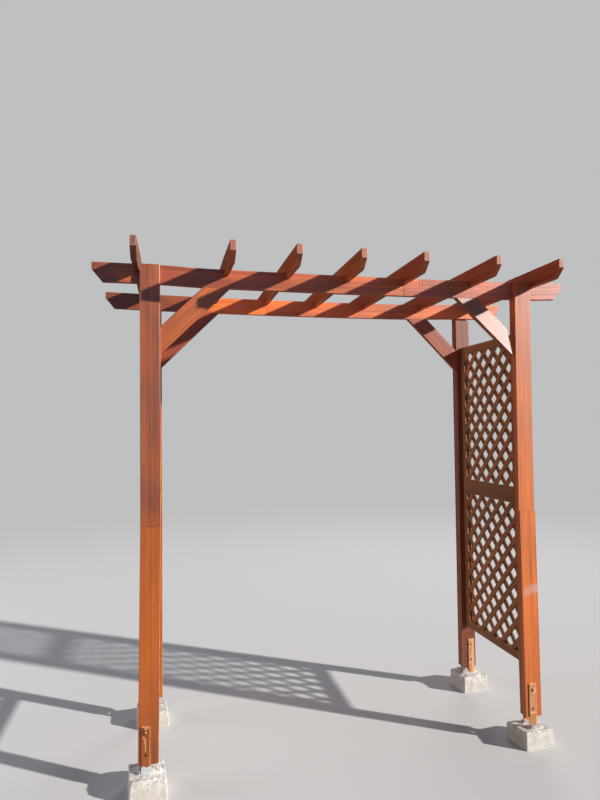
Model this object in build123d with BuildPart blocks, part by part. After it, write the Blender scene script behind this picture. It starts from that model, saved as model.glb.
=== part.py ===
from build123d import *
from math import cos, radians, sin, sqrt, tan
import os

os.makedirs("parts", exist_ok=True)

# Garden pergola: two portal frames of doubled boards, joined by seven rafters and
# two lattice sides, on concrete plinths. Origin on the ground under the middle,
# +X to the right along the front, +Y to the back, +Z up. The front is at -Y.

# Timber sections
board_w = 95.0
board_t = 28.0
arris = 2.5
joint_gap = 1.2

# Overall layout
frame_w = 2100.0
bay_depth = 650.0
beam_overhang = 225.0
rafter_overhang = 260.0

# Posts, each of an outer and an inner layer of boards with staggered joints
post_h = 2360.0
outer_joint_z = 1100.0
inner_joint_z = 1260.0

# Beam ends and the stepped half-lap in each beam
beam_nose = 34.0
beam_slant = 50.0
short_piece = 860.0
lap = 95.0

# Rafters
rafter_count = 7
rafter_shifts = (0.0, 78.0, 36.0, 0.0, -37.0, 0.0, 0.0)
rafter_nose = 47.0
rafter_slant = 44.0
notch_depth = 33.0
notch_play = 0.5

# Knee braces
brace_reach = 341.0
brace_miscut = 8.5
brace_short = 21.0
brace_lean = 3.8

# Lattice sides: two framed panels, one above the other
panel_h = 910.0
panel_lift = 260.0
rail_w = 45.0
rail_t = 28.0
rail_arris = 1.5
slat_w = 32.0
slat_t = 8.0
slat_pitch = 80.0
groove_depth = 10.0
groove_play = 0.3
lower_shift = 62.0
upper_shift = -19.0

# Feet
plinth_h = 80.0
plinth_w = 168.0
plinth_draft = 4.0
plinth_turn = 5.0
plinth_arris = 5.0
plinth_off_left = -8.0
plinth_off_right = 0.0
strap_w = 40.0
strap_t = 5.0
strap_up = 175.0
strap_gap = 60.0
strap_embed = 55.0
strap_off_left = -15.0
strap_off_right = -2.0
strap_hole_r = 5.5
strap_hole_low = 45.0
strap_hole_high = 137.0

# Derived planes and levels
post_foot = plinth_h + strap_gap
post_top = post_foot + post_h
beam_under = post_top - board_w
outer_y = bay_depth / 2 + board_t * 1.5
inner_y = bay_depth / 2 + board_t / 2
post_x = (frame_w - board_w) / 2
post_inside = post_x - board_w / 2
beam_end = frame_w / 2 + beam_overhang
rafter_end = bay_depth / 2 + 2 * board_t + rafter_overhang
rafter_under = post_top - notch_depth
rafter_top = rafter_under + board_w
rafter_x = (frame_w + board_t) / 2


def save(piece, node):
    piece.part.label = node
    export_step(piece.part, f"parts/{node}.step")


# Posts

def make_post_layer(node, x, y, joint_z, top):
    """One layer of a post: a lower and an upper board with a butt joint between."""
    lower = (post_foot, post_foot + joint_z - joint_gap / 2)
    upper = (post_foot + joint_z + joint_gap / 2, top)
    with BuildPart() as layer:
        for start, end in (lower, upper):
            with BuildSketch(Plane.XY.offset(start)):
                with Locations((x, y)):
                    Rectangle(board_w, board_t)
                fillet(vertices(), arris)
            extrude(amount=end - start)
    save(layer, node)


# Beams

def make_beam_piece(node, turn, long_piece):
    """Half of a beam: the long piece carries the upper tongue, the short one the lower."""
    splice_high = beam_end - short_piece
    splice_low = splice_high - lap
    mid_z = post_top - board_w / 2
    gap = joint_gap / 2
    nose_z = post_top - beam_nose
    if long_piece:
        outline = [(-beam_end, post_top), (splice_high - gap, post_top), (splice_high - gap, mid_z),
                   (splice_low - gap, mid_z), (splice_low - gap, beam_under),
                   (-beam_end + beam_slant, beam_under), (-beam_end, nose_z)]
    else:
        outline = [(beam_end, post_top), (splice_high + gap, post_top), (splice_high + gap, mid_z),
                   (splice_low + gap, mid_z), (splice_low + gap, beam_under),
                   (beam_end - beam_slant, beam_under), (beam_end, nose_z)]
    with BuildPart() as piece:
        with BuildSketch(Plane.XZ.offset(turn * inner_y - board_t / 2)):
            with BuildLine():
                Polyline([(turn * x, z) for x, z in outline], close=True)
            make_face()
        extrude(amount=board_t)
        runs = piece.edges().filter_by(Axis.X).group_by(Axis.Z)
        fillet(runs[0] + runs[-1], arris)
    save(piece, node)


# Rafters

def make_rafter(node, x):
    """Rafter with slanted noses, notched over both beams."""
    notch_in = inner_y - board_t / 2 - notch_play
    notch_out = inner_y + board_t / 2 + notch_play
    half = [(0, rafter_under), (notch_in, rafter_under), (notch_in, post_top), (notch_out, post_top),
            (notch_out, rafter_under), (rafter_end - rafter_slant, rafter_under),
            (rafter_end, rafter_top - rafter_nose), (rafter_end, rafter_top), (0, rafter_top)]
    with BuildPart() as rafter:
        with BuildSketch(Plane.YZ.offset(x - board_t / 2)):
            with BuildLine():
                Polyline(half, close=True)
            make_face()
            mirror(about=Plane.YZ)
        extrude(amount=board_t)
        runs = rafter.edges().filter_by(Axis.Y).group_by(Axis.Z)
        chamfer(runs[0] + runs[-1], arris)
    save(rafter, node)


# Knee braces

def make_brace(node, side, turn, crooked):
    """Brace at 45 degrees from the post's inner layer up to the beam.

    The crooked one stops short of the post, its foot is cut askew and it leans forward.
    """
    miscut, gap, lean = (brace_miscut, brace_short, brace_lean) if crooked else (0, 0, 0)
    cut = board_w * sqrt(2)
    askew = cut * tan(radians(miscut)) / (1 - tan(radians(miscut)))
    over = board_t * tan(radians(lean))
    foot = brace_reach - gap
    outline = [(-over, over), (cut - over, over), (foot - askew, cut + askew - foot), (foot, -foot)]
    face_y = -turn * inner_y - board_t / 2
    front = Plane((side * (post_inside - brace_reach), face_y, beam_under), x_dir=(1, 0, 0),
                  z_dir=(0, -cos(radians(lean)), sin(radians(lean))))
    with BuildPart() as brace:
        with BuildSketch(front):
            with BuildLine():
                Polyline([(side * u, v) for u, v in outline], close=True)
            make_face()
        extrude(amount=-board_t)
        grain = Axis(front.origin, front.x_dir * side - front.y_dir)
        chamfer(brace.edges().filter_by(grain), arris)
        if crooked:
            split(bisect_by=Plane.XY.offset(beam_under), keep=Keep.BOTTOM)
    save(brace, node)


# Lattice sides

def make_panel_frame(node, side, bottom):
    """Rails and stiles of one panel, grooved on the inside for the lattice."""
    mid_z = bottom + panel_h / 2
    groove_w = 2 * slat_t + 2 * groove_play
    open_y = bay_depth - 2 * rail_w
    open_z = panel_h - 2 * rail_w
    with BuildPart() as frame:
        with BuildSketch(Plane.YZ.offset(side * post_x - rail_t / 2)):
            with Locations((0, mid_z)):
                Rectangle(bay_depth, panel_h)
                Rectangle(open_y, open_z, mode=Mode.SUBTRACT)
        extrude(amount=rail_t)
        rims = frame.faces().filter_by(Axis.X).edges()
        chamfer(rims, rail_arris)
        with BuildSketch(Plane.YZ.offset(side * post_x - groove_w / 2)):
            with Locations((0, mid_z)):
                Rectangle(open_y + 2 * groove_depth, open_z + 2 * groove_depth)
        extrude(amount=groove_w, mode=Mode.SUBTRACT)
    save(frame, node)


def make_lattice(node, side, bottom, shift):
    """Two layers of diagonal slats, fused where they cross, held in the frame's groove."""
    mid_z = bottom + panel_h / 2
    wide = bay_depth - 2 * rail_w + 2 * (groove_depth - groove_play)
    high = panel_h - 2 * rail_w + 2 * (groove_depth - groove_play)
    reach = (wide + high) / 2 - slat_w
    drop = slat_pitch * sqrt(2)
    steps = [shift + i * drop for i in range(-99, 100) if abs(shift + i * drop) < reach]
    with BuildPart() as lattice:
        for layer, slope in ((side, -45), (-side, 45)):
            low_x = side * post_x - slat_t / 2 - layer * slat_t / 2
            with BuildSketch(Plane.YZ.offset(low_x)):
                with Locations([(0, mid_z + step) for step in steps]):
                    Rectangle(wide + high, slat_w, rotation=slope)
                with Locations((0, mid_z)):
                    Rectangle(wide, high, mode=Mode.INTERSECT)
            extrude(amount=slat_t)
    save(lattice, node)


# Feet

def plinth_centre_x(side, turn):
    """Middle of a plinth: a little off its post, and turned with the frame."""
    return side * post_x + turn * (plinth_off_left if side * turn < 0 else plinth_off_right)


def strap_centre_x(side, turn):
    """Middle of a post's straps: off the post's middle, and turned with the frame."""
    return side * post_x + turn * (strap_off_left if side * turn < 0 else strap_off_right)


def strap_centre_y(turn, face):
    """Middle of the strap on the outer or inner face of a post of the front or rear frame."""
    post_mid = bay_depth / 2 + board_t
    return -turn * (post_mid + face * (board_t + strap_t / 2))


def make_plinth(node, side, turn):
    """Concrete plinth above the ground, with the pockets that its two straps are cast in."""
    post_mid = -turn * (bay_depth / 2 + board_t)
    with BuildPart() as plinth:
        with BuildSketch(Plane.XY.offset(plinth_h)):
            with Locations((plinth_centre_x(side, turn), post_mid)):
                Rectangle(plinth_w, plinth_w, rotation=plinth_turn)
        extrude(amount=-plinth_h, taper=-plinth_draft)
        sloped = plinth.edges().filter_by(Plane.XY, reverse=True)
        chamfer(sloped, plinth_arris)
        chamfer(plinth.faces().sort_by(Axis.Z)[-1].edges(), plinth_arris)
        with BuildSketch(Plane.XY.offset(plinth_h - strap_embed)):
            for face in (-1, 1):
                with Locations((strap_centre_x(side, turn), strap_centre_y(turn, face))):
                    Rectangle(strap_w, strap_t)
        extrude(amount=strap_embed, mode=Mode.SUBTRACT)
    save(plinth, node)


def make_straps(node, side, turn):
    """The two flat straps that clasp a post, with two screw holes each."""
    low = plinth_h - strap_embed
    high = post_foot + strap_up
    mid_x = strap_centre_x(side, turn)
    with BuildPart() as straps:
        for face in (-1, 1):
            mid_y = strap_centre_y(turn, face)
            with BuildSketch(Plane.XZ.offset(-mid_y - strap_t / 2)):
                with Locations((mid_x, (low + high) / 2)):
                    Rectangle(strap_w, high - low)
                with Locations([(mid_x, post_foot + z) for z in (strap_hole_low, strap_hole_high)]):
                    Circle(strap_hole_r, mode=Mode.SUBTRACT)
            extrude(amount=strap_t)
    save(straps, node)


for frame_name, turn in (("front", 1), ("rear", -1)):
    for side_name, side in (("left", -1), ("right", 1)):
        corner = f"{frame_name}_{side_name}"
        make_post_layer(f"{corner}_post_outer_boards", side * post_x, -turn * outer_y, outer_joint_z, post_top)
        make_post_layer(f"{corner}_post_inner_boards", side * post_x, -turn * inner_y, inner_joint_z, beam_under)
        make_beam_piece(f"{frame_name}_beam_{side_name}", turn, side != turn)
        make_brace(f"{corner}_brace", side, turn, corner == "front_right")
        make_plinth(f"{corner}_plinth", side, turn)
        make_straps(f"{corner}_straps", side, turn)

rafter_pitch = 2 * rafter_x / (rafter_count - 1)
for i in range(rafter_count):
    make_rafter(f"rafter_{i + 1}", -rafter_x + i * rafter_pitch + rafter_shifts[i])

lower_z = post_foot + panel_lift
for side_name, side in (("left", -1), ("right", 1)):
    for level, bottom, shift in (("lower", lower_z, lower_shift), ("upper", lower_z + panel_h, upper_shift)):
        make_panel_frame(f"{side_name}_{level}_panel_frame", side, bottom)
        make_lattice(f"{side_name}_{level}_lattice", side, bottom, shift)
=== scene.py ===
import math
import random

import bmesh
import bpy
import numpy as np
from mathutils import Matrix, Vector, noise


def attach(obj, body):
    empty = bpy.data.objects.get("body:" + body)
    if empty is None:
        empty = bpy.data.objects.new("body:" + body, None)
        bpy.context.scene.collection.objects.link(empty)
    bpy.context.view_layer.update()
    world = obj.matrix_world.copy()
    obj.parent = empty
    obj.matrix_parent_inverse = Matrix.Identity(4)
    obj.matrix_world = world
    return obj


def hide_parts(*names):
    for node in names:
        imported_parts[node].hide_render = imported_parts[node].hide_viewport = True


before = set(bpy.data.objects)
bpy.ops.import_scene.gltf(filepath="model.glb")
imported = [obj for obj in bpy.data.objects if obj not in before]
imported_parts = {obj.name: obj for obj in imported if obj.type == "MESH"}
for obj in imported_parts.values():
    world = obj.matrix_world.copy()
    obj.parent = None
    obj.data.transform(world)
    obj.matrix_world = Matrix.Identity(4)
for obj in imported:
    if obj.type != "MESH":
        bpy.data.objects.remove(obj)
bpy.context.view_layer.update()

# Sizes that the CAD source uses too, in metres. The plinths and straps come in two kinds: -1 at the
# front left and rear right post, 1 at the other two.
POST_X = 1.0025
BAY = 0.65
BOARD_T = 0.028
POST_FOOT = 0.14
POST_TOP = 2.5
BEAM_H = 0.095
OUTER_JOINT = POST_FOOT + 1.1
PANEL_H = 0.91
LOWER_PANEL_Z = 0.4
RAIL_W = 0.045
RAIL_T = 0.028
SLAT_W = 0.032
SLAT_T = 0.008
SLAT_PITCH = 0.08
GROOVE = 0.0097
GROOVE_W = 0.0166
SHIFTS = {"lower": 0.062, "upper": -0.019}
PLINTH_H = 0.08
PLINTH_W = 0.168
PLINTH_OFF = {-1: -0.008, 1: 0.0}
PLINTH_DRAFT = math.radians(4)
PLINTH_TURN = math.radians(5)
STRAP_T = 0.005
STRAP_OFF = {-1: -0.015, 1: -0.002}
STRAP_HOLES = (POST_FOOT + 0.045, POST_FOOT + 0.137)

X, Y, Z = Vector((1, 0, 0)), Vector((0, 1, 0)), Vector((0, 0, 1))
# Front or rear, left or right, the frame's turn and the side of x
CORNERS = [(f, s, t, d) for f, t in (("front", 1), ("rear", -1))
           for s, d in (("left", -1), ("right", 1))]

# Settling of the one pergola in the photo, in metres.
# How far right the posts' lower and upper boards stand at foot and head
LEANS = {"front_left": ((-0.003, 0.005), (0.005, -0.001)),
         "front_right": ((0.005, -0.003), (-0.009, -0.001)),
         "rear_left": ((0.010, 0.007), (0.007, 0.0))}
# How far each rafter lies under the drawn height, and how far right its front tip bends
RAFTER_DROPS = (0.004, 0.0, 0.001, 0.004, 0.004, 0.001, 0.0)
TIP_SHIFTS = (-0.005, 0.004, 0.002, -0.001, 0.002, 0.0, 0.0)
TIP_START, TIP_RUN = 0.35, 0.29
# How far back the lower corner of a rafter's nose lies, and where the nose is
NOSE_CUT, NOSE_START, NOSE_DOWN, NOSE_RUN = 0.010, 0.575, 0.047, 0.048
# The beams' sag between the posts and the rise of their ends; the front beam's right end is shorter
FRONT_SAG, FRONT_LEFT_RISE, FRONT_RIGHT_RISE, FRONT_SHORTER = 0.006, 0.006, 0.008, 0.009
REAR_SAG, REAR_BOW, REAR_RIGHT_RISE = 0.005, 0.009, 0.006
# Where each end starts to rise and over what length, and the same upwards for the braces' heads
FRONT_LEFT_END, FRONT_RIGHT_END, REAR_RIGHT_END = (0.7, 0.3), (1.06, 0.17), (0.55, 0.4)
BRACE_HEAD = (2.1, 0.3)
# The front right brace is twisted about its length by this many degrees
BRACE_TWIST = -4.0
# How far a plinth is moved to the right, lifted, and tipped up at its front
SETTLED = {"front_right_plinth": (-0.006, 0.004, 0.007)}


def clamp(value, low=0.0, high=1.0):
    return max(low, min(high, value))


def faded(values, start, run):
    """0 up to start, 1 from run past it, and a straight line in between."""
    return np.clip((values - start) / run, 0, 1)


def smooth(share):
    return share * share * (3 - 2 * share)


def settle_rafter(co, i):
    """Lowers a rafter, bends its front tip aside and cuts its noses back."""
    co[:, 2] -= RAFTER_DROPS[i]
    co[:, 0] += TIP_SHIFTS[i] * faded(-co[:, 1], TIP_START, TIP_RUN)
    low = faded(co[:, 2].max() - co[:, 2], NOSE_DOWN, NOSE_RUN)
    co[:, 1] -= NOSE_CUT * low * np.sign(co[:, 1]) * (abs(co[:, 1]) > NOSE_START)


def settle_frame(co, front):
    """Lets a beam sag and its ends rise, and the heads of the braces with it."""
    x = co[:, 0].copy()
    if front:
        left, right = smooth(faded(-x, *FRONT_LEFT_END)), faded(x, *FRONT_RIGHT_END)
        sag = FRONT_SAG * (1 - x * x).clip(0, 1) - FRONT_LEFT_RISE * left - FRONT_RIGHT_RISE * right
        co[:, 0] -= FRONT_SHORTER * right
    else:
        sag = REAR_SAG - REAR_BOW * x * x - REAR_RIGHT_RISE * faded(x, *REAR_RIGHT_END)
    co[:, 2] -= sag * smooth(faded(co[:, 2], *BRACE_HEAD))


def settle(co, name):
    """Moves the points of a piece in place; the lattice sides stay as drawn."""
    if name.startswith("rafter"):
        settle_rafter(co, int(name[-1]) - 1)
    elif "post" in name:
        corner, i = name.split("_post")[0], int(name[-1]) - 1
        foot, head = LEANS[corner][i] if corner in LEANS else (0, 0)
        start, end = ((POST_FOOT, OUTER_JOINT), (OUTER_JOINT, POST_TOP))[i]
        co[:, 0] += foot + (head - foot) * (co[:, 2] - start) / (end - start)
    elif "beam" in name or "brace" in name:
        settle_frame(co, name.startswith("front"))


# Meshes
ARRIS_W = 0.0045


class Board:
    """Mesh arrays of one board: a cut and an arris per face, and the rest per point."""

    def __init__(self, co, faces, grain, tones, cut, arris):
        self.co, self.grain, self.tones = co, grain, tones
        self.faces, self.cut, self.arris = faces, cut, arris


def cut_across(bm, point, normal, **options):
    """Cuts the whole mesh by the plane through point."""
    geom = bm.verts[:] + bm.edges[:] + bm.faces[:]
    return bmesh.ops.bisect_plane(bm, geom=geom, plane_co=point, plane_no=normal, **options)


def slices(bm, axis, step):
    """Cuts the mesh across its grain every step metres, so that it can bend."""
    along = [v.co.dot(axis) for v in bm.verts]
    low, high = min(along), max(along)
    count = int((high - low) / step)
    for i in range(1, count + 1):
        cut_across(bm, axis * (low + (high - low) * i / (count + 1)), axis)


def runs_along(edge, axis):
    return abs((edge.verts[0].co - edge.verts[1].co).normalized().dot(axis)) > 0.99


def rounded(bm, edges, offset):
    bmesh.ops.bevel(bm, geom=edges, offset=offset, segments=2, profile=0.5, affect="EDGES")


def ease(bm, axis, run, end):
    """Rounds the chamfered long edges by run and the sharp ends by end."""
    if run:
        rounded(bm, [e for e in bm.edges if e.is_manifold and e.calc_length() > 1e-5
                     and 0.5 < e.calc_face_angle(0) < 1.0 and runs_along(e, axis)], run)
    sharp = [e for e in bm.edges if e.is_manifold and e.is_convex and e.calc_face_angle(0) > 0.7]
    if sharp:
        rounded(bm, sharp, end)


def loose_parts(bm):
    """The separate solids in a mesh, each as its own bmesh, from the lowest up."""
    found, left = [], set(bm.faces)
    while left:
        stack, group = [next(iter(left))], set()
        while stack:
            face = stack.pop()
            if face in group:
                continue
            group.add(face)
            stack += [n for e in face.edges for n in e.link_faces if n not in group]
        left -= group
        found.append(group)
    out = []
    for group in found:
        part, made = bmesh.new(), {}
        for face in sorted(group, key=lambda f: f.index):
            for v in face.verts:
                if v not in made:
                    made[v] = part.verts.new(v.co)
            part.faces.new([made[v] for v in face.verts])
        out.append(part)
    return sorted(out, key=lambda b: min(v.co.z for v in b.verts))


def cad_parts(node):
    """The node's solids as clean meshes with whole faces."""
    bm = bmesh.new()
    bm.from_mesh(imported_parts[node].data)
    bmesh.ops.remove_doubles(bm, verts=bm.verts, dist=1e-5)
    bmesh.ops.dissolve_limit(bm, angle_limit=0.01, verts=bm.verts, edges=bm.edges)
    bm.faces.index_update()
    return loose_parts(bm)


def grained(bm, axis, across, rng, tone, painted_shade_sides=False):
    """The mesh of one board as a Board, with its grain along axis and a random place in the log.

    The tone is one look, or several of them, each after its distance from the board's low end.
    A face's arris is 1 on a rounded edge, and -1 on a narrow side that is painted darker as shade.
    """
    bm.normal_update()
    bm.verts.index_update()
    basis = np.array([axis, across, axis.cross(across)])
    co = np.array([v.co for v in bm.verts])
    faces = [[v.index for v in f.verts] for f in bm.faces]
    local = co @ basis.T
    own = local - (local.max(0) + local.min(0)) / 2
    pith = np.array([rng.uniform(-40, 40), rng.uniform(-0.03, 0.03),
                     rng.choice((-1, 1)) * rng.uniform(0.03, 0.06)])
    cut, arris = [], []
    for f in bm.faces:
        size = sorted(np.ptp(own[[v.index for v in f.verts]], axis=0))
        turned = abs(f.normal.dot(axis))
        cut.append(1.0 if turned > 0.9 else 0.15 if turned > 0.5 else 0.0)
        rim = math.hypot(size[0], size[1]) < ARRIS_W
        narrow = painted_shade_sides and abs(f.normal.dot(across)) > 0.6
        arris.append(1.0 if rim else -1.0 if narrow else 0.0)
    bm.free()
    stops = tone if isinstance(tone[0], tuple) else ((0.0,) + tone,)
    reach = own[:, 0] - own[:, 0].min()
    tones = [np.interp(reach, [s[0] for s in stops], [s[i] for s in stops]) for i in (1, 2, 3)]
    return Board(co, faces, own + pith, np.array(tones).T, cut, arris)


def build(name, boards, material, slot, *nodes):
    """One piece of several boards, with the grain's coordinates as attributes."""
    faces, start = [], 0
    for board in boards:
        faces += [[i + start for i in face] for face in board.faces]
        start += len(board.co)
    co = np.vstack([board.co for board in boards])
    settle(co, name)
    me = bpy.data.meshes.new(name)
    me.from_pydata(co.tolist(), [], faces)
    vectors = {"grain": [board.grain for board in boards], "tone": [board.tones for board in boards]}
    for key, data in vectors.items():
        layer = me.attributes.new(key, "FLOAT_VECTOR", "POINT")
        layer.data.foreach_set("vector", np.vstack(data).ravel())
    values = {"cut": [c for board in boards for c in board.cut],
              "arris": [a for board in boards for a in board.arris],
              "figure": [FIGURES.get(nodes[0], 1.0)] * len(faces)}
    for key, data in values.items():
        me.attributes.new(key, "FLOAT", "FACE").data.foreach_set("value", data)
    finish_piece(name, me, material, nodes)


def from_bmesh(name, bm, material, slot, *nodes):
    """One piece of a mesh that is drawn here."""
    bm.normal_update()
    me = bpy.data.meshes.new(name)
    bm.to_mesh(me)
    bm.free()
    finish_piece(name, me, material, nodes)


def finish_piece(name, me, material, nodes):
    """Links the mesh as a piece that rides on the root, and hides the nodes it replaces."""
    obj = bpy.data.objects.new(name, me)
    bpy.context.scene.collection.objects.link(obj)
    me.materials.append(material)
    me.shade_smooth()
    me.set_sharp_from_angle(angle=math.radians(50))
    weighted = obj.modifiers.new("Weighted", "WEIGHTED_NORMAL")
    weighted.keep_sharp = True
    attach(obj, "root")
    if nodes:
        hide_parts(*nodes)


# Node trees
class Web:
    """The node tree of a material or world, built from calls that return sockets."""

    def __init__(self, owner):
        self.owner = owner
        owner.use_nodes = True
        self.tree = owner.node_tree
        self.tree.nodes.clear()

    def put(self, socket, value):
        if isinstance(value, bpy.types.NodeSocket):
            self.tree.links.new(value, socket)
        elif value is not None:
            socket.default_value = value

    def node(self, kind, inputs=(), out=0, **settings):
        made = self.tree.nodes.new("ShaderNode" + kind)
        for key, value in settings.items():
            setattr(made, key, value)
        for key, value in dict(inputs).items():
            self.put(made.inputs[key], value)
        return made if out is None else made.outputs[out]

    def math(self, operation, a, b=None, c=None, clamp=False):
        made = self.node("Math", operation=operation, use_clamp=clamp, out=None)
        for i, value in enumerate((a, b, c)):
            self.put(made.inputs[i], value)
        return made.outputs[0]

    def add(self, a, b, clamp=False):
        return self.math("ADD", a, b, clamp=clamp)

    def less(self, a, b):
        return self.math("SUBTRACT", a, b)

    def times(self, a, b):
        return self.math("MULTIPLY", a, b)

    def times_add(self, a, b, c):
        return self.math("MULTIPLY_ADD", a, b, c)

    def hypot(self, a, b):
        squares = self.add(self.math("POWER", a, 2.0), self.math("POWER", b, 2.0))
        return self.math("SQRT", squares)

    def attribute(self, name, out="Fac"):
        return self.node("Attribute", attribute_name=name, out=out)

    def place(self):
        return self.node("TexCoord", out="Object")

    def split(self, vector):
        return self.node("SeparateXYZ", {0: vector}, out=None).outputs

    def scaled(self, vector, *scale):
        return self.node("VectorMath", {0: vector, 1: scale}, operation="MULTIPLY")

    def noise(self, vector, scale=1.0, detail=2.0, roughness=0.5, distortion=0.0):
        return self.node("TexNoise", {"Vector": vector, "Scale": scale, "Detail": detail,
                                      "Roughness": roughness, "Distortion": distortion})

    def ramp(self, value, low, high, start=0.0, end=1.0):
        return self.node("MapRange", {"Value": value, "From Min": low, "From Max": high,
                                      "To Min": start, "To Max": end},
                         interpolation_type="SMOOTHSTEP")

    def mix(self, factor, a, b, blend="MIX"):
        made = self.node("Mix", data_type="RGBA", blend_type=blend, clamp_factor=True, out=None)
        for i, value in ((0, factor), (6, a), (7, b)):
            self.put(made.inputs[i], value)
        return made.outputs[2]

    def dimmed(self, colour, value):
        grey = self.node("CombineXYZ", {0: value, 1: value, 2: value})
        return self.mix(1.0, colour, grey, "MULTIPLY")

    def shader(self, colour, rough, height, depth, **fixed):
        bump = self.node("Bump", {"Height": height, "Distance": depth, "Strength": 1.0})
        values = {"Base Color": colour, "Roughness": rough, "Normal": bump}
        values.update({key.replace("_", " "): value for key, value in fixed.items()})
        surface = self.node("BsdfPrincipled", values)
        self.node("OutputMaterial", {"Surface": surface}, out=None)
        return self.owner


def srgb(*rgb):
    """A colour as written in 0 to 255, as linear light."""
    shares = [c / 255 for c in rgb]
    linear = [c / 12.92 if c <= 10 / 255 else ((c + 0.055) / 1.055) ** 2.4 for c in shares]
    return tuple(linear) + (1.0,)


# The scuffed band on the front right post: colour, rise to the right and height at x = 0
SCUFF, SCUFF_SLOPE, SCUFF_Z = (0.63, 0.39, 0.32, 1), 0.25, 0.5925
# Dark paint, which also serves as painted shade in the right strap's upper hole
DARK_PAINT_AND_SHADE, CREAM_PAINT = srgb(92, 46, 22), srgb(228, 176, 122)
# Spots of paint on the front straps, as middle x and z, half width and height, and colour:
# lumps over the left strap's upper hole and a run below them, then both holes of the right strap,
# where the dark spot over the upper hole is painted shade in that hole
PAINT_SPOTS = (
    (-1.030, 0.298, 0.006, 0.016, DARK_PAINT_AND_SHADE), (-1.027, 0.281, 0.007, 0.006, DARK_PAINT_AND_SHADE),
    (-1.008, 0.292, 0.005, 0.012, DARK_PAINT_AND_SHADE), (-1.015, 0.305, 0.010, 0.0035, CREAM_PAINT),
    (-1.0145, 0.290, 0.0045, 0.006, CREAM_PAINT), (-1.026, 0.266, 0.004, 0.006, CREAM_PAINT),
    (-1.0195, 0.245, 0.0032, 0.022, CREAM_PAINT), (-1.0185, 0.214, 0.0022, 0.014, CREAM_PAINT),
    # Painted shade: the dark spot over the right strap's upper hole, which makes the hole look deeper
    (0.9975, 0.281, 0.0075, 0.0105, DARK_PAINT_AND_SHADE), (0.9955, 0.179, 0.012, 0.0085, srgb(150, 112, 84)),
    (0.999, 0.163, 0.017, 0.0042, srgb(240, 196, 150)))


def knots(w, grain):
    """Small knots in cells laid along the board, and the swerve of the grain around them."""
    cells = w.node("TexVoronoi", {"Vector": w.scaled(grain, 1.7, 3.3, 0), "Scale": 1.0},
                   voronoi_dimensions="2D", out=None)
    near = w.times_add(w.noise(w.scaled(grain, 60, 120, 120)), 0.03, cells.outputs["Distance"])
    drawn = w.node("SeparateColor", {0: cells.outputs["Color"]})
    size = w.ramp(drawn, 0.3, 1.0, 0.0, 0.038)
    knot = w.ramp(w.less(size, near), 0.0, 0.006)
    return knot, w.times(w.ramp(near, 0.02, 0.13, 1.0, 0.0), w.ramp(size, 0.012, 0.03))


def late_wood(w, grain, around, ring):
    """The dark part of the rings round the pith, which drift and swerve round knots."""
    across, deep = w.split(grain)[1:]
    radius = w.times_add(w.noise(w.scaled(grain, 0.9, 3, 3)), 0.03, w.hypot(across, deep))
    radius = w.times_add(around, 0.006, radius)
    rings = w.math("FRACT", w.math("DIVIDE", radius, ring))
    return w.times(w.ramp(rings, 0.3, 0.9), w.ramp(rings, 0.92, 1.0, 1.0, 0.0))


def scuff(w, grain):
    """A scuffed band across the front of the front right post, rising to the right."""
    x, y, z = w.split(w.place())
    ragged = w.noise(w.scaled(grain, 45, 130, 130), detail=4.0, roughness=0.7)
    above = w.less(w.times_add(ragged, 0.065, z), w.times_add(x, SCUFF_SLOPE, SCUFF_Z))
    band = w.ramp(w.math("ABSOLUTE", above), 0.014, 0.030, 1.0, 0.0)
    scratches = w.noise(w.scaled(grain, 60, 420, 420), detail=3.0)
    band = w.times(band, w.ramp(scratches, 0.36, 0.62, 0.3, 0.95))
    band = w.times(band, w.times(w.ramp(x, 0.93, 1.04, 0.35, 1.0), w.ramp(y, -0.375, -0.38)))
    return w.times(band, w.ramp(x, 0.90, 0.93))


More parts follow.
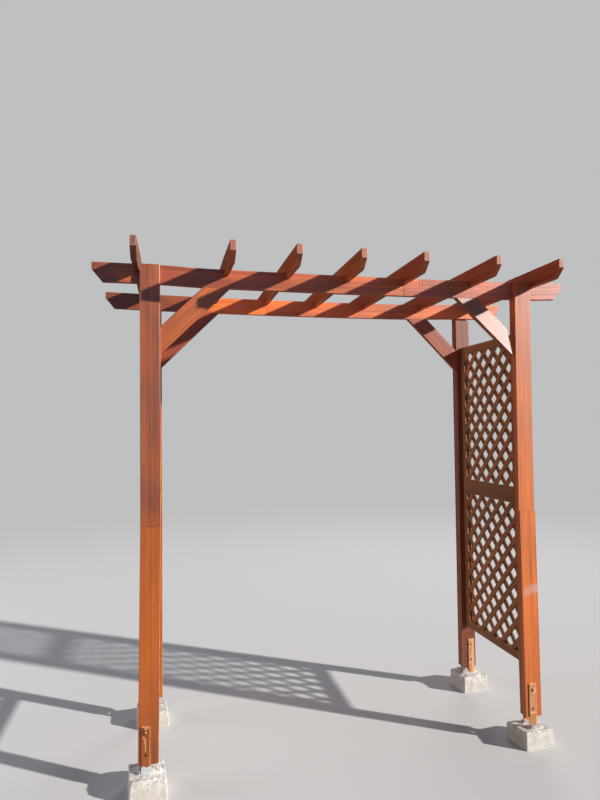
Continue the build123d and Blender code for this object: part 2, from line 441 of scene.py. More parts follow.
def wood(name, brown, orange, red, dark, pale, end, rough, ior, ring):
    """Planed softwood under a translucent stain, with worn arrises, paler ends and narrow sides
    painted darker as shade.
    """
    w = Web(bpy.data.materials.new(name))
    grain = w.attribute("grain", "Vector")
    hue, bright, redder = w.split(w.attribute("tone", "Vector"))
    cut, arris = w.attribute("cut"), w.attribute("arris")
    knot, around = knots(w, grain)
    late = late_wood(w, grain, around, ring)
    fibre = w.noise(w.scaled(grain, 8, 700, 700), detail=3.0, roughness=0.6)
    streak = w.noise(w.scaled(grain, 0.9, 95, 95), detail=3.0, roughness=0.55)
    wide = w.noise(w.scaled(grain, 0.8, 38, 38))
    blotch = w.noise(w.scaled(grain, 3.0, 9, 9), detail=3.0, distortion=0.4)
    # Colour
    hue = w.add(hue, w.times_add(blotch, 1.0, -0.5))
    hue = w.add(hue, w.times_add(wide, 1.1, -0.55), clamp=True)
    colour = w.mix(hue, brown, orange)
    colour = w.mix(w.times(redder, w.ramp(streak, 0.25, 0.75, 1.1, 0.8)), colour, red)
    colour = w.mix(w.times(late, w.ramp(streak, 0.35, 0.65, 0.26, 0.06)), colour, dark)
    value = w.ramp(streak, 0.28, 0.72, -0.15, 0.12)
    value = w.add(value, w.ramp(wide, 0.3, 0.7, -0.07, 0.06))
    value = w.add(value, w.ramp(fibre, 0.25, 0.75, -0.09, 0.08))
    value = w.add(value, w.ramp(blotch, 0.3, 0.7, -0.09, 0.08))
    value = w.times_add(value, w.attribute("figure"), 1.0)
    # Narrow sides with an arris of -1 get painted shade, down to 0.4 of the brightness
    value = w.times(value, w.times(bright, w.ramp(arris, -1.0, -0.5, 0.4, 1.0)))
    colour = w.dimmed(colour, value)
    colour = w.mix(w.times(around, 0.3), colour, dark)
    colour = w.mix(w.times(knot, 0.8), colour, tuple(c * 0.4 for c in dark[:3]) + (1.0,))
    colour = w.mix(scuff(w, grain), colour, SCUFF)
    # Cut ends with drying checks, and worn arrises
    sawn = w.mix(w.times(late, 0.3), w.dimmed(end, bright), dark)
    colour = w.mix(w.times(cut, w.ramp(blotch, 0.3, 0.7, 0.45, 0.8)), colour, sawn)
    checks = w.ramp(w.noise(w.scaled(grain, 3, 240, 110), detail=4.0), 0.58, 0.7, 0.0, 0.45)
    colour = w.mix(w.times(cut, checks), colour, dark)
    worn = w.noise(w.scaled(grain, 16, 260, 260), detail=3.0)
    worn = w.times(w.math("MAXIMUM", arris, 0.0), w.ramp(worn, 0.4, 0.68, 0.12, 0.75))
    colour = w.mix(worn, colour, pale)
    # Surface
    gloss = w.times_add(cut, 0.25, w.times_add(streak, 0.14, rough - 0.07))
    relief = w.times_add(late, 0.4, w.times(fibre, 0.7))
    relief = w.times_add(knot, -1.0, w.times_add(streak, 1.0, relief))
    return w.shader(colour, gloss, relief, 0.0002, IOR=ior, Specular_IOR_Level=0.9)


def concrete():
    """Pitted cast concrete with a pale rim, and mortar painted darker where the heap attribute is 1,
    as shade over the heaps' sunlit slopes.
    """
    w = Web(bpy.data.materials.new("concrete"))
    at = w.place()
    z = w.split(at)[2]
    heap = w.attribute("heap")
    grit = w.noise(at, 420.0, 3.0, 0.7)
    patch = w.noise(at, 26.0, 4.0, 0.6, 0.4)
    rim = w.ramp(z, 0.045, 0.085)
    pits = w.node("TexVoronoi", {"Vector": at, "Scale": 95.0}, out="Distance")
    gaps = w.less(w.noise(at, 42.0), w.times_add(heap, 0.07, w.times(rim, 0.07)))
    hole = w.times(w.ramp(pits, 0.18, 0.36, 1.0, 0.0), w.ramp(gaps, 0.42, 0.48, 1.0, 0.0))
    hole = w.times(hole, w.ramp(z, 0.055, 0.082, 0.35, 1.0))
    pale_rim = w.times(w.times(rim, w.ramp(patch, 0.4, 0.56)), 0.85)
    colour = w.mix(w.ramp(patch, 0.35, 0.7), srgb(198, 192, 181), srgb(216, 211, 201))
    colour = w.mix(w.ramp(grit, 0.3, 0.75, 0.0, 0.35), colour, srgb(160, 152, 140))
    colour = w.mix(pale_rim, colour, srgb(217, 214, 209))
    # Painted shade: the heaps' mortar is darkened so that their sunlit slopes don't glare
    colour = w.mix(w.times(heap, 0.9), colour, srgb(176, 169, 158))
    colour = w.mix(hole, colour, srgb(84, 76, 70))
    height = w.add(w.times(grit, 0.5), w.times_add(hole, -1.5, w.times(patch, 1.5)))
    return w.shader(colour, 0.9, height, 0.0008)


def painted_strap():
    """Stain brushed over flat steel: thicker on the left straps, with bare zinc at the foot."""
    w = Web(bpy.data.materials.new("painted_strap"))
    at = w.place()
    x, y, z = w.split(at)
    right = w.ramp(x, -0.1, 0.1)
    runs = w.noise(w.scaled(at, 160, 160, 16), detail=3.0)
    flakes = w.noise(at, 110.0, 4.0, 0.65)
    brush = w.noise(w.scaled(at, 400, 400, 30))
    lumps = w.noise(w.scaled(at, 130, 130, 90), detail=3.0, roughness=0.6)

    def spot(middle_x, middle_z, half_x, half_z, ragged=0.8):
        far = w.hypot(w.math("DIVIDE", w.less(x, middle_x), half_x),
                      w.math("DIVIDE", w.less(z, middle_z), half_z))
        return w.ramp(w.times_add(w.less(lumps, 0.5), ragged, far), 0.75, 1.1, 1.0, 0.0)

    thick = w.mix(w.ramp(runs, 0.35, 0.65), srgb(142, 76, 34), srgb(166, 93, 43))
    thin = w.mix(w.ramp(runs, 0.35, 0.65), srgb(196, 132, 83), srgb(214, 156, 106))
    low = w.ramp(w.times_add(lumps, 0.02, z), 0.165, 0.175, 1.0, 0.0)
    colour = w.mix(right, thick, w.mix(low, thin, srgb(196, 132, 72)))
    colour = w.mix(w.times(brush, 0.3), colour, srgb(120, 66, 34))
    # Pale edges, partly worn paint and partly painted highlight on the sides that face the key light:
    # the tops, and each front strap's right edge
    edge = w.math("MAXIMUM", w.ramp(z, 0.309, 0.312), w.ramp(x, 1.0165, 1.0185))
    left_edge = w.times(w.ramp(x, -1.0005, -0.9985), w.ramp(x, -0.95, -0.9, 1.0, 0.0))
    edge = w.math("MAXIMUM", edge, left_edge)
    colour = w.mix(w.times(edge, w.ramp(lumps, 0.3, 0.6, 0.25, 0.7)), colour, srgb(244, 190, 142))
    for middle_x, middle_z, half_x, half_z, tint in PAINT_SPOTS:
        colour = w.mix(w.times(spot(middle_x, middle_z, half_x, half_z), 0.8), colour, tint)
    # A pale ring round the right strap's upper hole, widest on its right and below: painted highlight
    # of a lip of paint round the hole
    ring = w.less(spot(1.0045, 0.277, 0.012, 0.015, 0.3), spot(0.999, 0.279, 0.0095, 0.012, 0.3))
    colour = w.mix(w.times(ring, 0.6), colour, srgb(244, 186, 138))
    # Bare zinc at the foot
    ragged = w.times_add(w.noise(w.scaled(at, 60, 60, 60)), 0.02, w.times_add(right, 0.034, z))
    bare = w.ramp(ragged, 0.141, 0.145, 1.0, 0.0)
    zinc = w.mix(w.ramp(flakes, 0.4, 0.6), srgb(172, 180, 184), srgb(206, 211, 212))
    colour = w.mix(bare, colour, zinc)
    relief = w.times_add(lumps, w.ramp(z, 0.22, 0.30, 0.8, 3.0), brush)
    return w.shader(colour, w.times_add(bare, -0.12, 0.52), relief, 0.0004)


def steel(name, light, dark):
    w = Web(bpy.data.materials.new(name))
    spots = w.noise(w.place(), 500.0, 3.0)
    return w.shader(w.mix(w.ramp(spots, 0.4, 0.65), light, dark),
                    w.times_add(spots, 0.3, 0.35), spots, 0.0002, Metallic=0.6)


stain = wood("stained_wood", brown=(0.32, 0.09, 0.036, 1), orange=(0.60, 0.138, 0.016, 1),
             red=(0.42, 0.060, 0.026, 1), dark=(0.13, 0.026, 0.012, 1), pale=(0.66, 0.32, 0.21, 1),
             end=(0.42, 0.142, 0.075, 1), rough=0.40, ior=1.58, ring=0.0042)
trellis = wood("trellis_wood", brown=(0.42, 0.19, 0.062, 1), orange=(0.55, 0.205, 0.05, 1),
               red=(0.44, 0.13, 0.045, 1), dark=(0.14, 0.052, 0.02, 1), pale=(0.56, 0.35, 0.19, 1),
               end=(0.44, 0.27, 0.15, 1), rough=0.5, ior=1.45, ring=0.0032)
stone = concrete()
strap_paint = painted_strap()
screw_steel = steel("screw_steel", srgb(96, 62, 46), srgb(60, 38, 30))
pin_steel = steel("pin_steel", srgb(120, 104, 92), srgb(84, 58, 44))

# Looks of each board, as (hue towards orange, brightness, redness), where it changes along the
# board each after its distance in metres from the low end; the others are drawn at random
LOOKS = {
    "front_left_post_outer_boards": (
        ((0.0, 0.85, 0.60, 0.1), (0.2, 0.95, 0.67, 0.1), (0.45, 1.0, 0.78, 0.05),
         (1.1, 1.0, 0.80, 0.05)),
        ((0.0, 0.9, 0.84, 0.05), (0.06, 0.7, 0.84, 0.05), (0.11, 0.05, 0.88, 0.1),
         (0.8, 0.1, 0.95, 0.1), (1.2, 0.3, 1.06, 0.05))),
    "front_left_post_inner_boards": ((0.8, 1.0, 0.0), (0.3, 1.0, 0.1)),
    # The front right post's outer boards are painted brighter than the others, partly as sheen, most
    # of all round the joint between them
    "front_right_post_outer_boards": (
        ((0.0, 0.8, 1.05, 0.0), (0.4, 0.8, 1.3, 0.0), (1.1, 0.85, 1.34, 0.0)),
        ((0.0, 0.75, 1.34, 0.0), (0.5, 0.75, 1.3, 0.0), (0.95, 0.65, 1.13, 0.0))),
    "front_right_post_inner_boards": ((0.9, 0.95, 0.1), (0.8, 0.95, 0.1)),
    "rear_left_post_outer_boards": ((0.9, 1.0, 0.05), (0.9, 1.05, 0.05)),
    "rear_left_post_inner_boards": ((0.9, 1.0, 0.05), (0.9, 1.05, 0.05)),
    # The rear right post's boards are painted darker and redder, as shade
    "rear_right_post_outer_boards": ((0.4, 0.6, 0.45), (0.4, 0.6, 0.45)),
    "rear_right_post_inner_boards": ((0.4, 0.55, 0.5), (0.4, 0.58, 0.5)),
    "front_beam_left": (
        ((0.0, 0.3, 0.78, 0.5), (0.08, 0.4, 0.85, 0.4), (0.13, 0.9, 1.0, 0.1), (0.2, 0.9, 1.0, 0.1),
         (0.27, 0.5, 0.95, 0.5), (0.4, 0.5, 1.0, 0.5), (1.2, 0.8, 1.1, 0.25), (1.7, 0.8, 1.28, 0.1)),),
    "front_beam_right": (((0.0, 0.5, 1.14, 0.35), (0.9, 0.4, 1.28, 0.25)),),
    # The rear beam's left piece is painted darker over its first 0.6 m, as shade
    "rear_beam_left": (
        ((0.0, 0.6, 0.62, 0.3), (0.35, 0.6, 0.68, 0.3), (0.5, 0.6, 0.85, 0.3),
         (0.62, 0.95, 1.62, 0.1), (1.6, 0.95, 1.62, 0.1)),),
    "rear_beam_right": (((0.0, 0.95, 1.6, 0.15), (0.8, 0.6, 1.6, 0.15)),),
    "front_left_brace": (((0.0, 0.55, 1.13, 0.1), (0.25, 0.55, 1.06, 0.1), (0.5, 0.6, 0.88, 0.15)),),
    "front_right_brace": ((0.1, 0.92, 0.0),),
    # Rafter 1 is painted darker, as shade that tones down its sunlit right side
    "rafter_1": ((0.4, 0.5, 0.55),),
    "rafter_3": ((0.7, 1.0, 0.3),),
    "rafter_4": ((0.9, 1.06, 0.2),),
    "rafter_6": ((0.4, 1.15, 0.6),),
}
# How strongly the streaks show, where that isn't 1
FIGURES = {"front_right_post_outer_boards": 0.6, "front_left_post_outer_boards": 0.85}


def looks(rng, low=0.3, high=0.7, red=0.5):
    return rng.uniform(low, high), rng.uniform(0.93, 1.05), rng.uniform(red - 0.2, red + 0.2)


def look(rng, node, i=0, **ranges):
    return LOOKS[node][i] if node in LOOKS else looks(rng, **ranges)


def darker(tone, share):
    return tone[0], tone[1] * share, tone[2]


# Timber
# Sawn lines on the front beam's left piece, as x, low and high end, and depth
BEAM_MIDDLE = POST_TOP - BEAM_H / 2
SAWN_LINES = ((0.311, POST_TOP - BEAM_H, BEAM_MIDDLE, 0.0035), (0.403, BEAM_MIDDLE, POST_TOP, 0.0025))
SAW_HALF = 0.0012
# How closely the boards are sliced; finer where the looks change within a short way
SLICE, POST_SLICE, FINE_SLICE = 0.08, 0.12, 0.05


def scribe(bm, x, low, high, deep):
    """A sawn line down both faces of a beam at x, between two heights."""
    for at in (x - SAW_HALF, x, x + SAW_HALF):
        cut_across(bm, X * at, X)
    cut_across(bm, Z * (low + high) / 2, Z)
    middle = sum((v.co.y for v in bm.verts), 0.0) / len(bm.verts)
    for v in bm.verts:
        on_line = abs(v.co.x - x) < 1e-5 and low - 1e-4 < v.co.z < high + 1e-4
        if on_line and abs(v.co.y - middle) > BOARD_T * 0.4:
            v.co.y += deep if v.co.y < middle else -deep


for f, s, turn, side in CORNERS:
    for layer in ("outer", "inner"):
        node = f"{f}_{s}_post_{layer}_boards"
        rng = random.Random(node)
        for i, part in enumerate(cad_parts(node)):
            tone = look(rng, node, i)
            ease(part, Z, 0, 0.0005)
            slices(part, Z, FINE_SLICE if node == "front_left_post_outer_boards" else POST_SLICE)
            board = grained(part, Z, X, rng, tone)
            build(f"{f}_{s}_post_{layer}_board_{i + 1}", [board], stain, "stained_wood", node)

for f in ("front", "rear"):
    for s in ("left", "right"):
        node = f"{f}_beam_{s}"
        rng = random.Random(node)
        part = cad_parts(node)[0]
        ease(part, X, 0, 0.001)
        slices(part, X, SLICE)
        if node == "front_beam_left":
            for line in SAWN_LINES:
                scribe(part, *line)
        board = grained(part, X, Z, rng, look(rng, node))
        build(f"{f}_beam_{s}_board", [board], stain, "stained_wood", node)

for i in range(1, 8):
    node = f"rafter_{i}"
    rng = random.Random(node)
    part = cad_parts(node)[0]
    ease(part, Y, 0.0009, 0.0012)
    # A worn rim round the end faces
    tips = [f for f in part.faces if abs(f.normal.dot(Y)) > 0.99 and f.calc_area() > 0.0005]
    bmesh.ops.inset_individual(part, faces=tips, thickness=0.0035)
    slices(part, Y, SLICE)
    board = grained(part, Y, Z, rng, look(rng, node, low=0.4, high=0.8, red=0.65))
    build(f"rafter_board_{i}", [board], stain, "stained_wood", node)

for f, s, turn, side in CORNERS:
    node = f"{f}_{s}_brace"
    rng = random.Random(node)
    part = cad_parts(node)[0]
    axis = Vector((side, 0, -1)).normalized()
    ease(part, axis, 0.0009, 0.0005)
    slices(part, axis, SLICE)
    if node == "front_right_brace":
        middle = sum((v.co for v in part.verts), Vector()) / len(part.verts)
        twist = Matrix.Rotation(math.radians(BRACE_TWIST), 3, axis)
        bmesh.ops.rotate(part, verts=part.verts, cent=middle, matrix=twist)
    board = grained(part, axis, Vector((side, 0, 1)).normalized(), rng, look(rng, node))
    # The braces' edges aren't worn
    board.arris = [0.0] * len(board.arris)
    build(f"{f}_{s}_knee_brace", [board], stain, "stained_wood", node)

# Lattice sides
OPEN_Y, OPEN_Z = BAY - 2 * RAIL_W, PANEL_H - 2 * RAIL_W
RAIL_GAP = 0.0002
SLAT_CHAMFER = 0.0009
PIN_MARGIN = 0.006
# The rails' and inner slats' stain is darker than the looks drawn for them, and the outer slats are
# painted darker still, as shade
RAIL_SHADE, INNER_SHADE, OUTER_PAINTED_SHADE = 0.72, 0.95, 0.62
# Turned forms, as (radius, height) from the middle out
SCREW = [(0, -0.0014), (0.0017, -0.0014), (0.0019, 0.0001), (0.0036, 0.0002), (0.0043, -0.0003),
         (0.0043, -0.003), (0, -0.003)]
PLUG = [(0, 0.0012), (0.003, 0.0010), (0.0055, 0.0002), (0.0064, -0.0003), (0.0052, -0.002),
        (0, -0.002)]
PIN = [(0, 0.0004), (0.0009, 0.0003), (0.0012, -0.0001), (0.0012, -0.001), (0, -0.001)]


def prism(start, end):
    """A closed form between two rings of points."""
    bm = bmesh.new()
    rings = [[bm.verts.new(point) for point in ring] for ring in (start, end)]
    for i in range(len(start)):
        j = (i + 1) % len(start)
        bm.faces.new((rings[0][i], rings[0][j], rings[1][j], rings[1][i]))
    bm.faces.new(rings[0])
    bm.faces.new(rings[1])
    bmesh.ops.recalc_face_normals(bm, faces=bm.faces)
    return bm


def bar(side, y0, y1, z0, z1, inward, rng, tone):
    """A rail or stile with its groove on the inward edge, as a Board."""
    along, length = (Y, y1 - y0) if abs(inward.z) > 0.5 else (Z, z1 - z0)
    middle = Vector((side * POST_X, (y0 + y1) / 2, (z0 + z1) / 2))
    half, hw, groove = RAIL_T / 2, RAIL_W / 2, GROOVE_W / 2
    profile = [(-hw, -half), (hw, -half), (hw, -groove), (hw - GROOVE, -groove),
               (hw - GROOVE, groove), (hw, groove), (hw, half), (-hw, half)]
    bm = prism(*[[middle + inward * u + X * v + along * (end * length / 2) for u, v in profile]
                 for end in (-1, 1)])
    rounded(bm, [e for e in bm.edges if runs_along(e, along)
                 and all(abs(abs(v.co.x - side * POST_X) - half) < 1e-6 for v in e.verts)], 0.0015)
    ease(bm, along, 0, 0.0004)
    slices(bm, along, POST_SLICE)
    return grained(bm, along, inward, rng, tone)


def slat(side, mid_z, step, slope, inner, wide, high, rng, tone):
    """One lattice slat, clipped to the frame's grooves, as a Board."""
    angle = math.radians(slope)
    along = Vector((0, math.cos(angle), math.sin(angle)))
    across = Vector((0, -math.sin(angle), math.cos(angle)))
    x0, x1 = sorted((side * POST_X, side * POST_X + (-side if inner else side) * SLAT_T))
    c, reach = SLAT_CHAMFER, (wide + high) / 2
    hw = SLAT_W / 2 - rng.uniform(0, 0.0006)
    centre = Vector((0, 0, mid_z + step)) + across * rng.uniform(-0.001, 0.001)
    profile = [(-hw, x0 + c), (-hw, x1 - c), (-hw + c, x1), (hw - c, x1), (hw, x1 - c), (hw, x0 + c),
               (hw - c, x0), (-hw + c, x0)]
    bm = prism(*[[centre + across * u + X * x + along * (end * reach) for u, x in profile]
                 for end in (-1, 1)])
    for point, normal in (((0, wide / 2, 0), Y), ((0, -wide / 2, 0), -Y),
                          ((0, 0, mid_z + high / 2), Z), ((0, 0, mid_z - high / 2), -Z)):
        made = cut_across(bm, point, normal, clear_outer=True)
        rim = [g for g in made["geom_cut"] if isinstance(g, bmesh.types.BMEdge)]
        if rim:
            bmesh.ops.holes_fill(bm, edges=rim)
    bmesh.ops.recalc_face_normals(bm, faces=bm.faces)
    # The slats' narrow sides are painted darker as shade, all but those of every third outer slat,
    # which the sun catches
    sides_in_shade = inner or round(step / SLAT_PITCH) % 3 > 0
    return grained(bm, along, across, rng, tone, painted_shade_sides=sides_in_shade)


def lathe(bm, centre, normal, profile, segments=12):
    """A turned form on centre, from the middle of its face out to the middle of its back."""
    normal = Vector(normal).normalized()
    turn = normal.to_track_quat("Z", "Y").to_matrix()
    angles = [2 * math.pi * i / segments for i in range(segments)]
    rows = []
    for r, h in profile:
        ring = [Vector((r * math.cos(a), r * math.sin(a), h)) for a in angles] if r else [Z * h]
        rows.append([bm.verts.new(Vector(centre) + turn @ point) for point in ring])
    for a, b in zip(rows, rows[1:]):
        for i in range(segments):
            j = (i + 1) % segments
            if len(a) == 1:
                bm.faces.new((a[0], b[i], b[j]))
            elif len(b) == 1:
                bm.faces.new((a[i], b[0], a[j]))
            else:
                bm.faces.new((a[i], b[i], b[j], a[j]))


def panel_frame(side, bottom, top, rng):
    """Two stiles at full height and two rails between them."""
    boards = []
    for sign in (-1, 1):
        outer = sign * BAY / 2
        y0, y1 = (outer - RAIL_W, outer) if sign > 0 else (outer, outer + RAIL_W)
        tone = darker(looks(rng, 0.1, 0.5, 0.3), RAIL_SHADE)
        boards.append(bar(side, y0, y1, bottom, top, Y * -sign, rng, tone))
    for z0, inward in ((bottom, Z), (top - RAIL_W, -Z)):
        tone = darker(looks(rng, 0.0, 0.3, 0.2), RAIL_SHADE)
        boards.append(bar(side, -OPEN_Y / 2 + RAIL_GAP, OPEN_Y / 2 - RAIL_GAP, z0, z0 + RAIL_W,
                          inward, rng, tone))
    return boards


def lattice(side, mid, steps, rng):
    """The inner layer of slats, falling to the rear, and the outer one, rising to it and painted
    darker as shade.
    """
    wide, high = OPEN_Y + 2 * GROOVE, OPEN_Z + 2 * GROOVE
    boards = []
    for slope, inner, share in ((-45, True, INNER_SHADE), (45, False, OUTER_PAINTED_SHADE)):
        for step in steps:
            tone = darker(looks(rng, 0.1, 0.8, 0.4), share)
            boards.append(slat(side, mid, step, slope, inner, wide, high, rng, tone))
    return boards


def lattice_pins(side, mid, steps):
    """A pin on either face wherever two slats cross inside the frame."""
    bm = bmesh.new()
    for a in steps:
        for b in steps:
            y, z = (a - b) / 2, (a + b) / 2
            if abs(y) < OPEN_Y / 2 - PIN_MARGIN and abs(z) < OPEN_Z / 2 - PIN_MARGIN:
                for face in (-1, 1):
                    at = (side * POST_X + face * SLAT_T, y, mid + z)
                    lathe(bm, at, (face, 0, 0), PIN, 8)
    return bm


for s, side in (("left", -1), ("right", 1)):
    for level, bottom in (("lower", LOWER_PANEL_Z), ("upper", LOWER_PANEL_Z + PANEL_H)):
        rng = random.Random(f"{s} {level}")
        boards = panel_frame(side, bottom, bottom + PANEL_H, rng)
        build(f"{s}_{level}_panel_rails", boards, trellis, "trellis_wood",
              f"{s}_{level}_panel_frame")
        mid, drop = bottom + PANEL_H / 2, SLAT_PITCH * math.sqrt(2)
        reach = (OPEN_Y + OPEN_Z + 4 * GROOVE) / 2 - SLAT_W
        steps = [SHIFTS[level] + i * drop for i in range(-99, 100)]
        steps = [step for step in steps if abs(step) < reach]
        boards = lattice(side, mid, steps, rng)
        build(f"{s}_{level}_slats", boards, trellis, "trellis_wood", f"{s}_{level}_lattice")
        pins = lattice_pins(side, mid, steps)
        from_bmesh(f"{s}_{level}_slat_pins", pins, pin_steel, "painted_strap")

# Feet
PLINTH_EDGE = 0.006
PIT_DEPTH, CHIP_DEPTH, CHIP_W = 0.0022, 0.010, 0.012
# Mortar on the left kind: a bed, lower on the right and uneven, and a heap from one x to another
BED, BED_FALL, BED_ROUGH = 0.019, 0.006, 0.0025
HEAP_LEFT, HEAP_RIGHT, HEAP_HALF, HEAP_H = -0.042, 0.066, 0.031, 0.0585
# The two low heaps on the right kind, as middle x and y, half length and width, height
LOW_HEAPS = ((-0.002, -0.038, 0.036, 0.030, 0.015), (0.0, 0.036, 0.034, 0.022, 0.016))


def mortar(x, y, kind):
    """Height of the mortar at a place on a plinth, and how far it belongs to a heap."""
    uneven = noise.fractal(Vector((x * 40, y * 40, kind)), 0.6, 2.0, 3)
    if kind < 0:
        bed = BED - BED_FALL * clamp((x - 0.03) / 0.04) + BED_ROUGH * uneven
        inside = clamp((x - HEAP_LEFT) / 0.008) * clamp((HEAP_RIGHT - x) / 0.040)
        inside *= clamp((HEAP_HALF - abs(y)) / 0.005)
        return bed + (HEAP_H - bed) * inside, min(1.0, 4 * inside)
    high = 0.0
    for middle_x, middle_y, half_x, half_y, top in LOW_HEAPS:
        longer = half_x * (1.8 if x > middle_x else 1.0)
        far = ((x - middle_x) / longer) ** 2 + ((y - middle_y) / half_y) ** 2
        high = max(high, top * min(1.0, 1.3 * max(0.0, 1 - far * (1 + 0.4 * uneven))))
    return high, min(1.0, high / 0.012)


def plinth_block(half):
    """A block with drafted sides and rounded edges, as quads: n by n across and m up."""
    n, m, r = 34, 14, PLINTH_EDGE
    bm = bmesh.new()
    made = {}

    def point(i, j, k):
        if (i, j, k) not in made:
            p = Vector((2 * i / n - 1, 2 * j / n - 1, k / m))
            box = Vector((p.x * half, p.y * half, p.z * PLINTH_H))
            core = Vector((clamp(box.x, r - half, half - r), clamp(box.y, r - half, half - r),
                           min(box.z, PLINTH_H - r)))
            out = box - core
            if out.length > 1e-9:
                box = core + out.normalized() * min(out.length, r)
            grow = 1 + (PLINTH_H - box.z) * math.tan(PLINTH_DRAFT) / half
            made[i, j, k] = bm.verts.new((box.x * grow, box.y * grow, box.z))
        return made[i, j, k]

    def quad(corners, flipped):
        verts = [point(*corner) for corner in corners]
        bm.faces.new(verts[::-1] if flipped else verts)

    for a in range(n):
        for b in range(n):
            for k in (0, m):
                quad([(a, b, k), (a + 1, b, k), (a + 1, b + 1, k), (a, b + 1, k)], k == 0)
        for k in range(m):
            for e in (0, n):
                quad([(a, e, k), (a + 1, e, k), (a + 1, e, k + 1), (a, e, k + 1)], e > 0)
                quad([(e, a, k), (e, a + 1, k), (e, a + 1, k + 1), (e, a, k + 1)], e == 0)
    bm.normal_update()
    return bm


def plinth(node, side, turn):
    """A cast block with pits, chipped rims and mortar, at the place of its node."""
    half = PLINTH_W / 2
    bm = plinth_block(half)
    seed = Vector((side * 3.1, turn * 5.7, 0))
    moves = []
    for v in bm.verts:
        rough = 0.5 + 0.5 * noise.fractal(v.co * 28 + seed, 0.6, 2.0, 4)
        chip = max(0.0, noise.noise(v.co * 45 + seed * 2) - 0.2)
        inset = min(abs(abs(v.co.x) - half), abs(abs(v.co.y) - half))
        rim = max(0.0, 1 - inset / CHIP_W) * (v.co.z > PLINTH_H - CHIP_W)
        moves.append(v.normal * -(PIT_DEPTH * max(0.0, rough) + CHIP_DEPTH * chip * rim))
    turned = Matrix.Rotation(PLINTH_TURN, 3, "Z")
    centre = Vector((side * POST_X + turn * PLINTH_OFF[side * turn],
                     -turn * (BAY / 2 + BOARD_T), 0))
    heap = bm.verts.layers.float.new("heap")
    shift, lift, tip = SETTLED.get(node, (0, 0, 0))
    for v, move in zip(bm.verts, moves):
        share = clamp((v.co.z - 0.04) / 0.038)
        if v.co.z > 0.001:
            v.co += move
        v.co = turned @ v.co
        high, v[heap] = mortar(turn * v.co.x, turn * v.co.y, side * turn)
        v.co.z += share * (high + lift - tip * v.co.y / half)
        v.co += centre + X * shift
    from_bmesh(node.replace("plinth", "footing"), bm, stone, "concrete", node)


for f, s, turn, side in CORNERS:
    plinth(f"{f}_{s}_plinth", side, turn)
    node = f"{f}_{s}_straps"
    bm = bmesh.new()
    for part in cad_parts(node):
        ease(part, Z, 0, 0.0007)
        me = bpy.data.meshes.new("strap")
        part.to_mesh(me)
        part.free()
        bm.from_mesh(me)
        bpy.data.meshes.remove(me)
    if node == "front_left_straps":
        hole = (-POST_X + STRAP_OFF[-1], -BAY / 2 - 2 * BOARD_T - STRAP_T, STRAP_HOLES[1])
        lathe(bm, hole, (0, -1, 0), PLUG, 16)
    from_bmesh(f"{f}_{s}_strap_pair", bm, strap_paint, "painted_strap", node)
    bm = bmesh.new()
    mid = -turn * (BAY / 2 + BOARD_T)
    x = side * POST_X + turn * STRAP_OFF[side * turn]
    for face in (-1, 1):
        for z in STRAP_HOLES:
            painted_over = f == "front" and face < 0 and z == STRAP_HOLES[1]
            sunk, swell = (0.0042, 1.25) if painted_over else (0.0012, 1.12)
            at = (x, mid + face * (BOARD_T + STRAP_T - sunk), z)
            lathe(bm, at, (0, face, 0), [(r * swell, h) for r, h in SCREW], 16)
    from_bmesh(f"{f}_{s}_strap_screws", bm, screw_steel, "painted_strap")

# Screws in the timber: two pairs at each post's head, and single ones along its height
HEAD_SCREWS, POST_SCREWS = (2.425, 2.48), (0.45, 0.9, 1.33, 1.47, 2.0)
bm = bmesh.new()
for f, s, turn, side in CORNERS:
    inner = -turn * (BAY / 2)
    for z in HEAD_SCREWS:
        for dx in (-0.02, 0.02):
            lathe(bm, (side * POST_X + dx, inner, z), (0, turn, 0), SCREW)
    for z in POST_SCREWS:
        lathe(bm, (side * POST_X + 0.025 * side, inner, z), (0, turn, 0), SCREW)
from_bmesh("timber_screws", bm, screw_steel, "painted_strap")

# Floor: plain to the camera and fading into the backdrop, but warm paving and dark lawn to what
# it throws light on
FLOOR_R, FLOOR_SIDES = 40, 64
BACKDROP = (0.52, 0.525, 0.53, 1)
FLOOR = (0.60, 0.60, 0.59, 1)
PAVING, LAWN = (0.27, 0.23, 0.185, 1), (0.09, 0.075, 0.065, 1)
w = Web(bpy.data.materials.new("studio_floor"))
away = w.node("VectorMath", {0: w.place()}, operation="LENGTH", out="Value")
seen = w.node("LightPath", out="Is Camera Ray")
tint = w.mix(seen, w.mix(w.ramp(away, 1.3, 2.6), PAVING, LAWN), FLOOR)
plain = w.node("BsdfPrincipled", {"Base Color": tint, "Roughness": 0.85})
glow = w.node("Emission", {"Color": BACKDROP, "Strength": 1.0})
fade = w.times(w.ramp(away, 3.0, 11.0), seen)
w.node("OutputMaterial", {"Surface": w.node("MixShader", {0: fade, 1: plain, 2: glow})}, out=None)
me = bpy.data.meshes.new("studio_floor")
angles = [2 * math.pi * i / FLOOR_SIDES for i in range(FLOOR_SIDES)]
ring = [(FLOOR_R * math.cos(a), FLOOR_R * math.sin(a), 0) for a in angles]
me.from_pydata(ring, [], [list(range(FLOOR_SIDES))])
me.materials.append(w.owner)
floor = bpy.data.objects.new("studio_floor", me)
bpy.context.scene.collection.objects.link(floor)

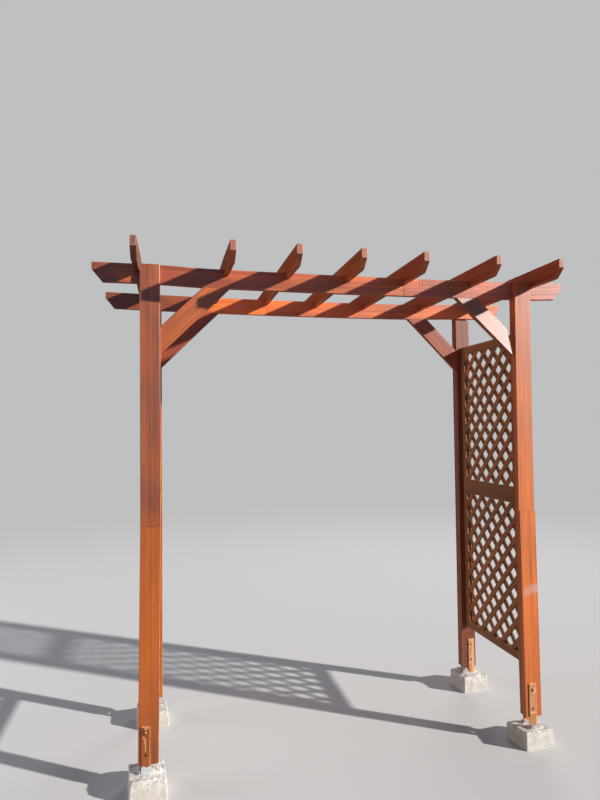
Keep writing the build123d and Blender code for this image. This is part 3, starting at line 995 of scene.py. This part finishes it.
# World: blue sky light from the front right, brown light from the rest
SKY_TOWARDS = (0.50, -0.84, 0.20)
BROWN_LIGHT, SKY_LIGHT = (0.085, 0.058, 0.042, 1), (0.14, 0.19, 0.31, 1)
w = Web(bpy.data.worlds.new("studio"))
bpy.context.scene.world = w.owner
facing = w.node("VectorMath", {0: w.node("TexCoord", out="Generated"), 1: SKY_TOWARDS},
                operation="DOT_PRODUCT", out="Value")
light = w.node("Background", {"Color": w.mix(w.ramp(facing, -0.2, 0.8), BROWN_LIGHT, SKY_LIGHT)})
shown = w.node("Background", {"Color": BACKDROP})
choose = {0: w.node("LightPath", out="Is Camera Ray"), 1: light, 2: shown}
w.node("OutputWorld", {"Surface": w.node("MixShader", choose)}, out=None)

LAMP_TARGET, LAMP_DISTANCE = Vector((0, 0, 1.5)), 10.0


def lamp(kind, name, azimuth, elevation, size, white, colour):
    """A sun or disc that lights a white board facing it to the brightness white."""
    a, e = math.radians(azimuth), math.radians(elevation)
    towards = Vector((math.sin(a) * math.cos(e), -math.cos(a) * math.cos(e), math.sin(e)))
    data = bpy.data.lights.new(name, kind)
    data.color = colour
    if kind == "SUN":
        data.angle, data.energy = math.radians(size), white * math.pi
    else:
        data.shape, data.size = "DISK", size
        data.energy = white * math.pi ** 2 * LAMP_DISTANCE ** 2
    obj = bpy.data.objects.new(name, data)
    obj.location = LAMP_TARGET + towards * LAMP_DISTANCE
    obj.rotation_euler = towards.to_track_quat("Z", "Y").to_euler()
    bpy.context.scene.collection.objects.link(obj)


lamp("SUN", "key", azimuth=57.4, elevation=22, size=1.4, white=1.85, colour=(1.0, 0.97, 0.92))
lamp("AREA", "back_fill", azimuth=145, elevation=35, size=5.0, white=0.22, colour=(0.95, 0.97, 1.0))
lamp("AREA", "left_fill", azimuth=-98, elevation=6, size=6.0, white=0.38, colour=(0.96, 0.98, 1.1))

# The photo's camera, as fitted to its 800 rows
FOCAL_PX, PHOTO_ROWS, SENSOR = 604.98, 800, 36
CAMERA_AT = (-0.9218, -3.3612, 1.7070)
lens = bpy.data.cameras.new("camera")
lens.lens = FOCAL_PX * SENSOR / PHOTO_ROWS
lens.sensor_width = SENSOR
camera = bpy.data.objects.new("camera", lens)
yaw, pitch, roll = math.radians(12.415), math.radians(2.527), math.radians(-0.509)
camera.matrix_world = (Matrix.Translation(CAMERA_AT) @ Matrix.Rotation(-yaw, 4, "Z")
                       @ Matrix.Rotation(math.radians(90) + pitch, 4, "X")
                       @ Matrix.Rotation(roll, 4, "Z"))
bpy.context.scene.collection.objects.link(camera)
bpy.context.scene.camera = camera
bpy.context.scene.view_settings.view_transform = "Standard"

bpy.context.view_layer.update()
